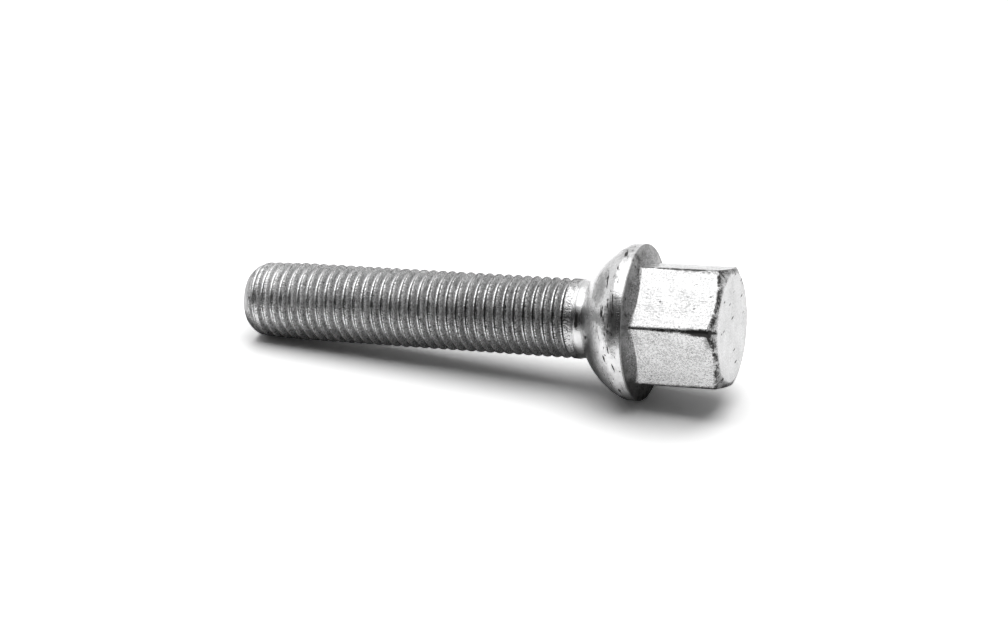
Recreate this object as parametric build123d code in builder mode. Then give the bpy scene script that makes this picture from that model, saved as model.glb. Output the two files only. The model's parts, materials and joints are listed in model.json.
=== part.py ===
"""Wheel bolt with a ball seat: one steel forging with a rolled metric thread.

The bolt lies as it comes to rest on a level floor, on the rim of its collar and on the
thread beside its tip. The origin is the centre of the ball seat, on the bolt's axis. The
axis points towards the head, in the XZ plane, and rises by the lean that the rest gives.
Stations along the axis are measured from the origin. All sizes are in millimetres.
"""

import math
import os

from build123d import *

# Thread, right-handed, M12 x 1.5, its depth and root width as shares of the pitch
thread_major_diameter = 11.8
thread_pitch = 1.5
thread_depth_share = 0.60
thread_root_share = 0.16
thread_flank_angle = 30.0
runout_turns = 0.75
cutter_clearance = 0.1

# Shank, from its tip to the ball seat
shank_length = 54.5
tip_face_diameter = 8.7
tip_length = 2.1
tip_start_angle = 15.0
lead_in_length = 8.0
lead_in_drop = 0.2
neck_step = 0.2
neck_length = 1.2
neck_fillet = 0.4

# Ball seat and collar
seat_radius = 12.5
seat_setback = 5.0
collar_rim_width = 1.8
collar_rim_round = 0.25
back_rise = 1.2
back_start_angle = 8.0

# Hexagon head, measured from the back of the collar's rim
head_height = 13.2
hex_across_flats = 17.0
hex_corner_round = 0.8
hex_corner_elevation = 20.0
end_face_diameter = 16.0
end_chamfer_angle = 30.0
end_face_round = 0.5

# Sizes of the thread's profile and radii that follow
thread_depth = thread_depth_share * thread_pitch
thread_root_width = thread_root_share * thread_pitch
crest_radius = thread_major_diameter / 2
root_radius = crest_radius - thread_depth
tip_radius = crest_radius - lead_in_drop
tip_face_radius = tip_face_diameter / 2
neck_radius = crest_radius - neck_step
collar_radius = math.sqrt(seat_radius**2 - seat_setback**2)
end_face_radius = end_face_diameter / 2
hex_inner_radius = hex_across_flats / 2
hex_outer_radius = hex_inner_radius / math.cos(math.radians(30))

# Stations along the axis, from the centre of the ball seat
rim_front = -seat_setback
rim_back = rim_front + collar_rim_width
hollow_end = rim_back + back_rise
head_end = rim_back + head_height
neck_end = -math.sqrt(seat_radius**2 - neck_radius**2)
thread_end = neck_end - neck_length
crest_end = thread_end - neck_step
tip_end = neck_end - shank_length
tip_start = tip_end + tip_length
lead_in_start = tip_end + lead_in_length

# The bolt rests on the collar's front edge and on the lowest crest beside the tip
lean = min(
    math.atan2(collar_radius - tip_radius, rim_front - tip_start),
    math.atan2(collar_radius - crest_radius, rim_front - lead_in_start),
)
axis_direction = Vector(math.cos(lean), 0, math.sin(lean))
resting_plane = Plane(origin=(0, 0, 0), x_dir=(-math.sin(lean), 0, math.cos(lean)), z_dir=axis_direction)

# The bolt is shaped upright, with its head up, on sketches of station and radius
profile_plane = Plane(origin=(0, 0, 0), x_dir=(0, 0, 1), z_dir=(0, 1, 0))


def thread_plane(start):
    """Plane through the axis at the start of a helix, with its Y axis outwards."""
    outward = Vector(start.X, start.Y, 0).normalized()
    return Plane(origin=start, x_dir=(0, 0, 1), z_dir=Vector(0, 0, 1).cross(outward))


with BuildPart() as threaded_shank:
    # Blank at the height of the crests, from beyond the tip to where the neck begins
    runout_length = runout_turns * thread_pitch
    groove_end = crest_end - runout_length
    groove_turns = math.ceil((groove_end - tip_end) / thread_pitch) + 1
    cut_count = math.ceil(groove_turns / 9)
    cut_length = math.ceil(groove_turns / cut_count) * thread_pitch
    blank_start = groove_end - cut_count * cut_length - thread_pitch
    with BuildSketch(Plane.XY.offset(blank_start)):
        Circle(crest_radius)
    extrude(amount=thread_end - blank_start)

    # Groove of the thread, cut a few turns at a time from its run-out to beyond the tip
    cutter_height = thread_depth + cutter_clearance
    cutter_flare = cutter_height * math.tan(math.radians(thread_flank_angle))
    for cut in range(1, cut_count + 1):
        with BuildLine():
            groove_path = Helix(
                thread_pitch,
                cut_length,
                root_radius,
                center=(0, 0, groove_end - cut * cut_length),
            )
        with BuildSketch(thread_plane(groove_path @ 0)) as groove_section:
            with BuildLine():
                Polyline(
                    (-thread_root_width / 2, 0),
                    (thread_root_width / 2, 0),
                    (thread_root_width / 2 + cutter_flare, cutter_height),
                    (-thread_root_width / 2 - cutter_flare, cutter_height),
                    close=True,
                )
            make_face()
        sweep(path=groove_path, is_frenet=True, mode=Mode.SUBTRACT)

    # Run-out, where the groove climbs to the crests before the neck
    with BuildLine():
        runout_path = Helix(
            thread_pitch,
            runout_length,
            root_radius,
            center=(0, 0, groove_end),
            cone_angle=math.degrees(math.atan2(cutter_height, runout_length)),
        )
    with BuildSketch(thread_plane(runout_path @ 0)):
        add(groove_section.sketch_local)
    sweep(path=runout_path, is_frenet=True, mode=Mode.SUBTRACT)

    # Rounded tip, trimmed off the thread with what lies beyond the tip
    tip_slope = math.radians(tip_start_angle)
    trim_radius = crest_radius + cutter_clearance
    trim_start = blank_start - cutter_clearance
    with BuildSketch(profile_plane):
        with BuildLine():
            TangentArc(
                (tip_start, tip_radius),
                (tip_end, tip_face_radius),
                tangent=(-math.cos(tip_slope), -math.sin(tip_slope)),
            )
            Polyline(
                (tip_end, tip_face_radius),
                (tip_end, 0),
                (trim_start, 0),
                (trim_start, trim_radius),
                (tip_start, trim_radius),
                (tip_start, tip_radius),
            )
        make_face()
    revolve(axis=Axis.Z, mode=Mode.SUBTRACT)

    # Lead-in, where the crests taper down to the rounded tip
    taper_start = tip_start - cutter_clearance
    taper_slope = (crest_radius - tip_radius) / (lead_in_start - tip_start)
    taper_radius = tip_radius - taper_slope * cutter_clearance
    with BuildSketch(profile_plane):
        with BuildLine():
            Polyline(
                (taper_start, taper_radius),
                (lead_in_start, crest_radius),
                (lead_in_start, trim_radius),
                (taper_start, trim_radius),
                close=True,
            )
        make_face()
    revolve(axis=Axis.Z, mode=Mode.SUBTRACT)

    # Step down from the crests to the neck
    with BuildSketch(profile_plane):
        with BuildLine():
            Polyline(
                (crest_end, crest_radius),
                (thread_end, neck_radius),
                (thread_end + cutter_clearance, neck_radius),
                (thread_end + cutter_clearance, trim_radius),
                (crest_end, trim_radius),
                close=True,
            )
        make_face()
    revolve(axis=Axis.Z, mode=Mode.SUBTRACT)

with BuildPart() as upright_bolt:
    # Hexagon, from the front of the collar's rim to the end of the head
    with BuildSketch(Plane.XY.offset(rim_front)) as hexagon:
        RegularPolygon(hex_inner_radius, 6, major_radius=False, rotation=90 - hex_corner_elevation)
        fillet(hexagon.vertices(), hex_corner_round)
    extrude(amount=head_end - rim_front)

    # End of the head: a flat face, and the cone that trims the six corners
    chamfer_rise = (hex_outer_radius - end_face_radius) * math.tan(math.radians(end_chamfer_angle))
    with BuildSketch(profile_plane) as head_envelope:
        with BuildLine():
            Polyline(
                (rim_front, 0),
                (head_end, 0),
                (head_end, end_face_radius),
                (head_end - chamfer_rise, hex_outer_radius),
                (rim_front, hex_outer_radius),
                close=True,
            )
        make_face()
        end_edge = head_envelope.vertices().sort_by_distance((head_end, end_face_radius))[0]
        fillet(end_edge, end_face_round)
    revolve(axis=Axis.Z, mode=Mode.INTERSECT)

    # Neck, ball seat, collar rim and the hollow at its back, turned about the axis
    neck_angle = math.degrees(math.atan2(neck_radius, neck_end))
    rim_angle = math.degrees(math.atan2(collar_radius, rim_front))
    back_start = math.radians(back_start_angle)
    with BuildSketch(profile_plane) as collar_profile:
        with BuildLine():
            Polyline((thread_end, 0), (thread_end, neck_radius), (neck_end, neck_radius))
            CenterArc((0, 0), seat_radius, rim_angle, neck_angle - rim_angle)
            Line((rim_front, collar_radius), (rim_back, collar_radius))
            TangentArc(
                (rim_back, collar_radius),
                (hollow_end, hex_inner_radius),
                tangent=(math.sin(back_start), -math.cos(back_start)),
            )
            Polyline((hollow_end, hex_inner_radius), (hollow_end, 0), (thread_end, 0))
        make_face()
        for corner, radius in (
            ((neck_end, neck_radius), neck_fillet),
            ((rim_front, collar_radius), collar_rim_round),
            ((rim_back, collar_radius), collar_rim_round),
        ):
            fillet(collar_profile.vertices().sort_by_distance(corner)[0], radius)
    revolve(axis=Axis.Z)

    # The shank grows out of the neck in the same steel
    add(threaded_shank.part)

with BuildPart() as wheel_bolt:
    # The finished bolt laid down as it rests
    with Locations(resting_plane.location):
        add(upright_bolt.part)

wheel_bolt.part.label = "wheel_bolt"

os.makedirs("parts", exist_ok=True)
export_step(wheel_bolt.part, "parts/wheel_bolt.step")
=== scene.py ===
"""Dresses the wheel bolt: thread, neck, ball seat, collar, hexagon and their worn zinc, with some painted
shade, reflection and highlight.

The bolt is shaped upright, in millimetres, with stations along its axis measured from the
centre of the ball seat. It is then laid down where the frame says.
"""

import json
import logging
import math
from dataclasses import dataclass
from enum import Enum
from functools import reduce
from typing import Union

import bmesh
import bpy
from mathutils import Matrix, Vector, noise

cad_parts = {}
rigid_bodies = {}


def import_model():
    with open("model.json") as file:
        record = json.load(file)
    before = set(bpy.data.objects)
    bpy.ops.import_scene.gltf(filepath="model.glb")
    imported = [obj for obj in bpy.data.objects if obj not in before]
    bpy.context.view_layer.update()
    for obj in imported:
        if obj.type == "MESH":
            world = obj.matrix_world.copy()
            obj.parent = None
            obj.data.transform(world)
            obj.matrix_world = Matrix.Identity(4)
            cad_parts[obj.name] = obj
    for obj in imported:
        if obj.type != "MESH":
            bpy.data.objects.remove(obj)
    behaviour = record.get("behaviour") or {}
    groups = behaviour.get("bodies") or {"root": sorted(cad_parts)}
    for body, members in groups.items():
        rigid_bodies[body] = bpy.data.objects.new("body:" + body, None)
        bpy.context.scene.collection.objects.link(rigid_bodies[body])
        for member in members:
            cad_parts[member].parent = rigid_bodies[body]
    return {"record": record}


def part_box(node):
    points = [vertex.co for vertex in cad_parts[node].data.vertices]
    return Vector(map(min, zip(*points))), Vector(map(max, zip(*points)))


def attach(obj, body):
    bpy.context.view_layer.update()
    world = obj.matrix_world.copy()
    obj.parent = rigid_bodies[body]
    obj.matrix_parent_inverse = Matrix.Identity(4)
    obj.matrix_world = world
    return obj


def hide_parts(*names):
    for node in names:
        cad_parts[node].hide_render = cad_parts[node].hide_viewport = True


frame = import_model()

LOG = logging.getLogger("wheel_bolt")
MM = 0.001
NEAR = 1e-4
UPRIGHT = (0.0, 0.0, 1.0)
ONE_TURN = {"cent": (0.0, 0.0, 0.0), "axis": UPRIGHT, "dvec": (0.0, 0.0, 0.0), "angle": math.tau}

Mesh = bmesh.types.BMesh
Vert = bmesh.types.BMVert
Edge = bmesh.types.BMEdge
Socket = bpy.types.NodeSocket
Value = Union[Socket, float]


class Zone(Enum):
    """The surfaces of the bolt that are finished differently, in the order of its slots."""

    THREAD = 0
    SEAT = 1
    HEXAGON = 2
    END_FACE = 3


@dataclass
class Placement:
    """Where the bolt lies: the direction of its axis, and the station of its end face."""

    axis: Vector
    head_end: float

    @classmethod
    def from_record(cls, record: dict) -> "Placement":
        """Reads the axis and the end of the head from the mounts.

        Args:
            record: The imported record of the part.

        Returns:
            The placement, with its stations in millimetres from the ball seat's centre.
        """
        mounts = {mount["name"]: mount for mount in record["mounts"]}
        axis = Vector(mounts["head_face"]["axis"]).normalized()
        head_end = Vector(mounts["head_face"]["pos_m"]).dot(axis) / MM
        return cls(axis=axis, head_end=head_end)

    @property
    def lean(self) -> float:
        """Rise of the axis above the floor, in radians."""
        return math.atan2(self.axis.z, self.axis.x)

    def matrix(self) -> Matrix:
        """Works out the move that lays the upright bolt down.

        Returns:
            The matrix, from millimetres upright to metres where the bolt lies.
        """
        side = Vector((0.0, -1.0, 0.0))
        under = self.axis.cross(side)
        turn = Matrix((side, under, self.axis)).transposed().to_4x4()
        return turn @ Matrix.Scale(MM, 4)


def smooth_share(value: float, low: float, high: float) -> float:
    """Share from 0 to 1 of the way from low to high, eased at both ends."""
    share = min(max((value - low) / (high - low), 0.0), 1.0)
    return share * share * (3.0 - 2.0 * share)


def between(value: float, steps: tuple) -> float:
    """Straight-line value between given steps.

    Args:
        value: Where to read.
        steps: Pairs of a place and its value, in rising order of place.

    Returns:
        The value there, held at the first and last steps.
    """
    if value <= steps[0][0]:
        return steps[0][1]
    for (low, at_low), (high, at_high) in zip(steps, steps[1:]):
        if value <= high:
            return at_low + (at_high - at_low) * (value - low) / (high - low)
    return steps[-1][1]


def distance_out(vert: Vert) -> float:
    """Distance of a vertex of an upright shape from the axis."""
    return math.hypot(vert.co.x, vert.co.y)


def ring_edges(bm: Mesh, station: float, reach: float = 1e-3) -> list[Edge]:
    """Edges that lie wholly at one station of an upright shape."""
    return [edge for edge in bm.edges if all(abs(vert.co.z - station) < reach for vert in edge.verts)]


def spin(bm: Mesh, geom: list, steps: int, **changes: object) -> list:
    """Sweeps parts of a mesh, unless told otherwise once round the axis, and returns the last ones."""
    return bmesh.ops.spin(bm, geom=geom, steps=steps, **(ONE_TURN | changes))["geom_last"]


def move_out(vert: Vert, radius: float, station: float) -> None:
    """Gives a vertex of an upright shape another radius and station at its own angle."""
    scale = radius / distance_out(vert)
    vert.co = Vector((vert.co.x * scale, vert.co.y * scale, station))


def add_line(bm: Mesh, last: Vert, radius: float, station: float, runs: int = 1) -> Vert:
    """Adds a straight stretch to a section's outline.

    Args:
        bm: The mesh that holds the outline, in the plane of X and the axis.
        last: The vertex that the stretch starts from.
        radius: Distance of its end from the axis.
        station: Station of its end.
        runs: Number of equal edges that it is divided into.

    Returns:
        The new end of the outline.
    """
    start, end = last.co.copy(), Vector((radius, 0.0, station))
    for run in range(1, runs + 1):
        vert = bm.verts.new(start.lerp(end, run / runs))
        bm.edges.new((last, vert))
        last = vert
    return last


def add_arc(bm: Mesh, last: Vert, radius: float, station: float, angle: float, steps: int) -> Vert:
    """Adds an arc to a section's outline.

    Args:
        bm: The mesh that holds the outline, in the plane of X and the axis.
        last: The vertex that the arc starts from.
        radius: Distance of the arc's centre from the axis.
        station: Station of the arc's centre.
        angle: How far the arc turns, clockwise, in radians.
        steps: Number of edges.

    Returns:
        The new end of the outline.
    """
    made = spin(bm, [last], steps, cent=(radius, 0.0, station), axis=(0.0, 1.0, 0.0), angle=angle)
    return next(part for part in made if isinstance(part, Vert))


def put_in_scene(bm: Mesh, name: str) -> bpy.types.Object:
    """Makes an object of a finished mesh.

    Args:
        bm: The mesh, which is freed.
        name: The object's name.

    Returns:
        The object, linked to the scene.
    """
    mesh = bpy.data.meshes.new(name)
    bm.to_mesh(mesh)
    bm.free()
    piece = bpy.data.objects.new(name, mesh)
    bpy.context.scene.collection.objects.link(piece)
    return piece


@dataclass
class ThreadedShank:
    """The rolled thread, from its rounded tip to where it runs out before the neck."""

    tip_end: float = -65.62
    crest_end: float = -12.53
    join: float = 0.15
    pitch: float = 1.5
    crest_radius: float = 5.88
    root_radius: float = 5.0
    flank_angle: float = 30.0
    flank_runs: int = 4
    crest_flat: float = 0.17
    crest_round: float = 0.06
    root_round: float = 0.13
    round_steps: int = 2
    first_crest: float = 0.333
    lead_turns: float = 2.2
    lead_depth: float = 0.80
    runout_turns: float = 0.8
    runout_setback: float = 0.75
    steps_per_turn: int = 80
    spare_turns: int = 3
    cut_reach: float = 1e-5
    weld: float = 0.004
    wear: float = 0.012
    wear_scale: tuple = (0.35, 0.35, 0.6)
    wear_start: float = 0.4
    wear_full: float = 2.0
    tip_rings: tuple = ((4.1, 0.0), (3.2, 0.03), (1.6, 0.10), (0.4, 0.12))
    tip_shape: tuple = (
        (0.0, 4.33), (0.25, 4.60), (0.75, 5.02), (1.25, 5.34), (1.75, 5.55), (2.3, 5.68), (8.5, 5.88)
    )

    def profile(self, bm: Mesh, start: float) -> list:
        """One turn's outline from mid-crest to mid-crest, with rounded corners.

        Args:
            bm: The mesh that gets the outline.
            start: Station of the first mid-crest.

        Returns:
            The outline's vertices and edges.
        """
        turn = math.radians(90.0 - self.flank_angle)
        half, crest, root, steps = self.crest_flat / 2, self.crest_round, self.root_round, self.round_steps
        drop = self.crest_radius - self.root_radius - (crest + root) * math.cos(turn)
        slope = drop * math.tan(math.radians(self.flank_angle))
        dip = half + (crest + root) * math.sin(turn) + slope
        crest_centre, root_centre = self.crest_radius - crest, self.root_radius + root
        crest_side = crest_centre + crest * math.cos(turn)
        root_side = root_centre - root * math.cos(turn)
        end = start + self.pitch
        last = bm.verts.new((self.crest_radius, 0.0, start))
        last = add_line(bm, last, self.crest_radius, start + half)
        last = add_arc(bm, last, crest_centre, start + half, -turn, steps)
        last = add_line(bm, last, root_side, start + dip - root * math.sin(turn), self.flank_runs)
        last = add_arc(bm, last, root_centre, start + dip, turn, steps)
        last = add_line(bm, last, self.root_radius, end - dip)
        last = add_arc(bm, last, root_centre, end - dip, turn, steps)
        last = add_line(bm, last, crest_side, end - half - crest * math.sin(turn), self.flank_runs)
        last = add_arc(bm, last, crest_centre, end - half, -turn, steps)
        add_line(bm, last, self.crest_radius, end)
        return list(bm.verts) + list(bm.edges)

    def depth_share(self, station: float, angle: float, start: float) -> float:
        """Share of the full depth that the groove has at a point along its run.

        Args:
            station: Station of the point.
            angle: Its angle about the axis.
            start: Station of the first mid-crest, at angle 0.

        Returns:
            0 where there is no groove, and 1 where it is full.
        """
        turn = angle / math.tau
        groove = round((station - start) / self.pitch - turn - 0.5)
        along = start + (groove + 0.5 + turn) * self.pitch
        runout_end = self.crest_end - self.runout_setback
        out = smooth_share(along, runout_end - self.runout_turns * self.pitch, runout_end)
        lead_in = ((0.0, self.lead_depth), (self.lead_turns * self.pitch, 1.0))
        return (1.0 - out) * between(along - self.tip_end, lead_in)

    def build(self) -> Mesh:
        """Makes the thread as an open tube with its tip closed.

        Returns:
            The mesh, upright and in millimetres, open at the neck.
        """
        bm = bmesh.new()
        turns = math.ceil((self.crest_end - self.tip_end) / self.pitch) + self.spare_turns
        start = self.crest_end + self.pitch * self.first_crest - turns * self.pitch
        rise = (0.0, 0.0, self.pitch / self.steps_per_turn)
        spin(bm, self.profile(bm, start), self.steps_per_turn, dvec=rise)
        made = 1
        while made < turns:
            whole = list(bm.verts) + list(bm.edges) + list(bm.faces)
            parts = bmesh.ops.duplicate(bm, geom=whole)["geom"]
            verts = [part for part in parts if isinstance(part, Vert)]
            bmesh.ops.translate(bm, verts=verts, vec=(0.0, 0.0, made * self.pitch))
            made *= 2
        bmesh.ops.remove_doubles(bm, verts=bm.verts, dist=self.weld)
        for station, dropped in ((self.tip_end, "clear_inner"), (self.crest_end - self.join, "clear_outer")):
            whole = list(bm.verts) + list(bm.edges) + list(bm.faces)
            cut = {"plane_co": (0.0, 0.0, station), "plane_no": UPRIGHT, dropped: True}
            bmesh.ops.bisect_plane(bm, geom=whole, dist=self.cut_reach, **cut)
        for vert in bm.verts:
            self.shape(vert, start)
        self.close_tip(bm)
        return bm

    def shape(self, vert: Vert, start: float) -> None:
        """Gives a vertex the groove's depth there, the rounding of the tip and slight wear.

        Args:
            vert: The vertex to move.
            start: Station of the first mid-crest, at angle 0.
        """
        radius = distance_out(vert)
        share = self.depth_share(vert.co.z, math.atan2(vert.co.y, vert.co.x), start)
        wanted = self.crest_radius - (self.crest_radius - radius) * share
        wanted = min(wanted, between(vert.co.z - self.tip_end, self.tip_shape))
        wave = noise.noise(Vector([part * scale for part, scale in zip(vert.co, self.wear_scale)]))
        fade = smooth_share(vert.co.z, self.crest_end - self.wear_start, self.crest_end - self.wear_full)
        move_out(vert, wanted + self.wear * wave * fade, vert.co.z)

    def close_tip(self, bm: Mesh) -> None:
        """Closes the tip with a slightly dished face.

        Args:
            bm: The tube, open at its tip.
        """
        loop = ring_edges(bm, self.tip_end)
        for radius, rise in self.tip_rings:
            made = bmesh.ops.extrude_edge_only(bm, edges=loop)["geom"]
            ring = [part for part in made if isinstance(part, Vert)]
            for vert in ring:
                move_out(vert, radius, self.tip_end + rise)
            edges = [part for part in made if isinstance(part, Edge)]
            loop = [edge for edge in edges if all(vert in ring for vert in edge.verts)]
        bmesh.ops.contextual_create(bm, geom=loop)


@dataclass(frozen=True)
class Forging:
    """How uneven the forged head is and how it is knocked, in millimetres."""

    waves: tuple = ((0.0132, 0.22), (0.0048, 0.9))
    waves_from: float = 6.2
    knock_depth: float = 0.22
    knock_scale: float = 1.7
    knock_shift: tuple = (3.0, 1.0, 7.0)
    knock_threshold: float = 0.25
    rim_reach: float = 0.6
    rim_from: float = 10.5
    end_reach: float = 0.7
    end_from: float = 7.2
    inward: float = 0.012
    neck_fade: float = 0.6
    end_radius: float = 7.6
    end_skin: float = 0.02
    end_dents: float = 0.05
    end_dent_scale: float = 0.5
    end_crown: float = 0.03
    end_crown_radii: tuple = (7.0, 2.0)


@dataclass
class Head:
    """The neck, ball seat, collar, hollow back and hexagon, turned and then faceted."""

    head_end: float
    crest_end: float
    crest_radius: float
    neck_start: float = -12.34
    neck_radius: float = 5.68
    seat_radius: float = 12.5
    seat_steps: int = 24
    rim_front: float = -5.0
    rim_width: float = 1.8
    rim_blend: float = 2.0
    rim_blend_steps: int = 5
    back_rise: float = 1.2
    back_slope: float = 8.0
    flats: float = 17.0
    corner_round: float = 0.8
    corner_turn: float = -20.0
    end_radius: float = 8.0
    chamfer_angle: float = 30.0
    steps: int = 480
    weld: float = 0.002
    rim_shares: tuple = (0.25, 0.6, 0.88, 1.0)
    back_shares: tuple = (0.12, 0.25, 0.45, 0.65, 0.82, 0.93, 1.0)
    side_shares: tuple = (0.03, 0.10, 0.25, 0.42, 0.6, 0.78, 0.9, 0.96, 1.0)
    cone_shares: tuple = (0.55, 1.0)
    end_radii: tuple = (7.5, 6.8, 5.6, 4.2, 2.8, 1.4, 0.5, 0.0)
    rim_round: tuple = (0.20, 3)
    foot_round: tuple = (0.12, 2)
    chamfer_round: tuple = (0.20, 4)
    end_round: tuple = (0.26, 4)
    forging: Forging = Forging()

    @property
    def flat_radius(self) -> float:
        """Distance from the axis to a flat."""
        return self.flats / 2

    @property
    def collar_radius(self) -> float:
        """Radius of the collar's rim, where the ball seat ends."""
        return math.sqrt(self.seat_radius**2 - self.rim_front**2)

    @property
    def rim_back(self) -> float:
        """Station of the back edge of the rim."""
        return self.rim_front + self.rim_width

    @property
    def neck_end(self) -> float:
        """Station where the neck meets the ball seat."""
        return -math.sqrt(self.seat_radius**2 - self.neck_radius**2)

    @property
    def side_ends(self) -> tuple[float, float]:
        """Stations where the middle of a flat starts at the back and ends at the cone."""
        return self.hollow_station(self.flat_radius), self.chamfer_station(self.flat_radius)

    def hexagon_radius(self, angle: float) -> float:
        """Distance from the axis to the hexagon's side, rounded corners included.

        Args:
            angle: Angle about the axis, in radians.

        Returns:
            The distance in millimetres.
        """
        half_side = math.pi / 6
        from_corner = (angle - math.radians(self.corner_turn) + half_side) % (2 * half_side) - half_side
        centre = (self.flat_radius - self.corner_round) / math.cos(half_side)
        tangent = (self.flat_radius - self.corner_round) * math.tan(half_side)
        round_angle = half_side - math.atan2(tangent, self.flat_radius)
        if abs(from_corner) > round_angle:
            return self.flat_radius / math.cos(half_side - abs(from_corner))
        across = centre * math.sin(from_corner)
        return centre * math.cos(from_corner) + math.sqrt(self.corner_round**2 - across**2)

    def hollow_station(self, radius: float) -> float:
        """Reads the hollow back, an arc that starts nearly square to the axis.

        Args:
            radius: Distance from the axis.

        Returns:
            The back's station there.
        """
        slope = math.radians(self.back_slope)
        run = self.collar_radius - self.flat_radius
        chord = math.hypot(run, self.back_rise)
        turn = 2 * (math.atan2(self.back_rise, run) - slope)
        arc = chord / (2 * math.sin(turn / 2))
        centre_x = self.collar_radius + arc * math.sin(slope)
        centre_z = self.rim_back + arc * math.cos(slope)
        return centre_z - math.sqrt(max(arc**2 - (radius - centre_x) ** 2, 0.0))

    def chamfer_station(self, radius: float) -> float:
        """Station of the end cone at a radius."""
        return self.head_end - (radius - self.end_radius) * math.tan(math.radians(self.chamfer_angle))

    def neck_points(self) -> tuple:
        """Radius and station of each point from the last crest, along the waisted neck, to the ball."""
        return (
            (self.crest_radius, self.crest_end - 0.03),
            (self.crest_radius - 0.01, self.crest_end + 0.01),
            (self.neck_radius - 0.02, self.neck_start - 0.03),
            (self.neck_radius - 0.03, self.neck_start),
            (self.neck_radius + 0.02, self.neck_start + 0.12),
            (self.neck_radius + 0.06, self.neck_start + 0.35),
            (self.neck_radius + 0.07, (self.neck_start + self.neck_end) / 2),
            (self.neck_radius + 0.06, self.neck_end - 0.38),
            (self.neck_radius + 0.01, self.neck_end - 0.12),
            (self.neck_radius, self.neck_end),
        )

    def outline(self, bm: Mesh) -> None:
        """Draws half the head's section, from the last crest round to the middle of the end face.

        Args:
            bm: The mesh that gets the outline.
        """
        (radius, station), *points = self.neck_points()
        last = bm.verts.new((radius, 0.0, station))
        for radius, station in points:
            last = add_line(bm, last, radius, station)
        blend_radius = self.collar_radius - self.rim_blend
        blend_station = -math.sqrt((self.seat_radius - self.rim_blend) ** 2 - blend_radius**2)
        start = math.atan2(self.neck_radius, -self.neck_end)
        end = math.atan2(blend_radius, -blend_station)
        last = add_arc(bm, last, 0.0, 0.0, start - end, self.seat_steps)
        last = add_arc(bm, last, blend_radius, blend_station, end - math.pi / 2, self.rim_blend_steps)
        for share in self.rim_shares:
            station = blend_station + (self.rim_back - blend_station) * share
            last = add_line(bm, last, self.collar_radius, station)
        for share in self.back_shares:
            radius = self.collar_radius + (self.flat_radius - self.collar_radius) * share
            last = add_line(bm, last, radius, self.hollow_station(radius))
        low, high = self.side_ends
        for share in self.side_shares:
            last = add_line(bm, last, self.flat_radius, low + (high - low) * share)
        for share in self.cone_shares:
            radius = self.flat_radius + (self.end_radius - self.flat_radius) * share
            last = add_line(bm, last, radius, self.chamfer_station(radius))
        for radius in self.end_radii:
            last = add_line(bm, last, radius, self.head_end)

    def facet(self, vert: Vert) -> None:
        """Moves a turned vertex of the back, sides or end cone onto the hexagon.

        Args:
            vert: The vertex to move.
        """
        radius = distance_out(vert)
        if vert.co.z < self.rim_back + NEAR or radius < self.end_radius + NEAR:
            return
        side = self.hexagon_radius(math.atan2(vert.co.y, vert.co.x))
        low, high = self.side_ends
        if radius > self.flat_radius + NEAR:
            share = (self.collar_radius - radius) / (self.collar_radius - self.flat_radius)
            wanted = self.collar_radius + (side - self.collar_radius) * share
            station = self.hollow_station(wanted)
        elif radius > self.flat_radius - NEAR:
            share = (vert.co.z - low) / (high - low)
            wanted = side
            station = self.hollow_station(side) * (1 - share) + self.chamfer_station(side) * share
        else:
            share = (self.flat_radius - radius) / (self.flat_radius - self.end_radius)
            wanted = side + (self.end_radius - side) * share
            station = self.chamfer_station(wanted)
        move_out(vert, wanted, station)

    def build(self) -> Mesh:
        """Makes the head as a shell that is open at the neck.

        Returns:
            The mesh, upright and in millimetres.
        """
        bm = bmesh.new()
        self.outline(bm)
        spin(bm, list(bm.verts) + list(bm.edges), self.steps, use_merge=True)
        bmesh.ops.remove_doubles(bm, verts=bm.verts, dist=self.weld)
        low, high = self.side_ends
        crisp = [
            (self.ring(bm, self.rim_back, self.collar_radius), self.rim_round),
            (self.ring(bm, low, self.flat_radius), self.foot_round),
            (self.ring(bm, high, self.flat_radius), self.chamfer_round),
            (self.ring(bm, self.head_end, self.end_radius), self.end_round),
        ]
        for vert in bm.verts:
            self.facet(vert)
        for edges, (width, segments) in crisp:
            bmesh.ops.bevel(
                bm,
                geom=[edge for edge in edges if edge.is_valid],
                offset=width,
                offset_type="OFFSET",
                segments=segments,
                profile=0.5,
                affect="EDGES",
                clamp_overlap=True,
                material=-1,
            )
        for vert in bm.verts:
            self.weather(vert)
        return bm

    def ring(self, bm: Mesh, station: float, radius: float, reach: float = 1e-3) -> list[Edge]:
        """Edges of one turned ring, by station and radius."""
        level = ring_edges(bm, station, reach)
        return [edge for edge in level if all(abs(distance_out(v) - radius) < reach for v in edge.verts)]

    def weather(self, vert: Vert) -> None:
        """Adds the slight unevenness of forging, and knocks along the rim and the end's edge.

        Args:
            vert: The vertex to move.
        """
        place, made = vert.co.copy(), self.forging
        radius = distance_out(vert)
        if radius < NEAR:
            return
        outward = Vector((place.x / radius, place.y / radius, 0.0))
        outward *= smooth_share(place.z, self.neck_start, self.neck_start + made.neck_fade)
        swell = sum(depth * noise.noise(place * scale) for depth, scale in made.waves)
        knock = noise.noise(place * made.knock_scale + Vector(made.knock_shift)) - made.knock_threshold
        rim = max(1.0 - abs(place.z - self.rim_front) / made.rim_reach, 0.0) * (radius > made.rim_from)
        end = max(1.0 - abs(place.z - self.head_end) / made.end_reach, 0.0) * (radius > made.end_from)
        knock = made.knock_depth * max(knock, 0.0) * max(rim, end)
        vert.co += outward * (swell * (radius > made.waves_from) - knock - made.inward)
        if place.z > self.head_end - made.end_skin and radius < made.end_radius:
            dent = made.end_dents * max(noise.noise(place * made.end_dent_scale), 0.0)
            crown = made.end_crown * smooth_share(radius, *made.end_crown_radii)
            vert.co.z -= made.end_skin + dent - crown


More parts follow.
